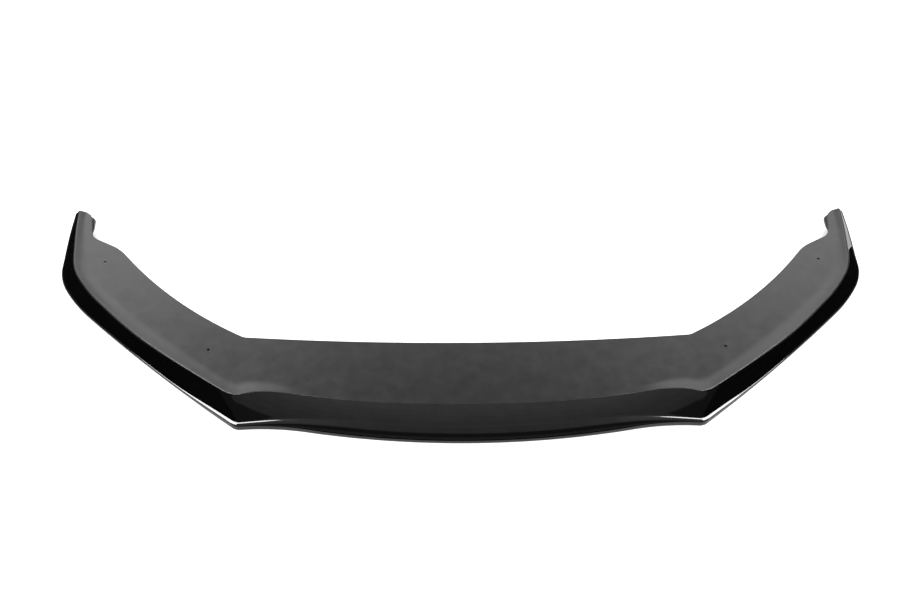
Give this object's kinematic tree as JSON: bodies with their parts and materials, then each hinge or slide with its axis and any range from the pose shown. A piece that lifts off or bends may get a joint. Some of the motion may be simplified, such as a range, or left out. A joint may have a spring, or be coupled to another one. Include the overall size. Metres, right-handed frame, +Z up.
{
  "type": "front splitter lip",
  "caption": "Shallow black plastic lip for the underside of a front bumper: flat mounting plate, swept-back arms with end tabs, raised rim and leaning outer wall.",
  "frame": {"origin": "middle of the part's width and depth, on the plane of the bottom edge", "axes": "+X toward the right end of the lip, +Y toward the rear of the car, +Z up"},
  "size_m": [1.7278, 0.592, 0.044],
  "materials": {
    "black_plastic": "high gloss on the outer wall and front slope, satin on the mounting plate"
  },
  "bodies": {
    "root": {"splitter_lip": "black_plastic"}
  },
  "joints": []
}
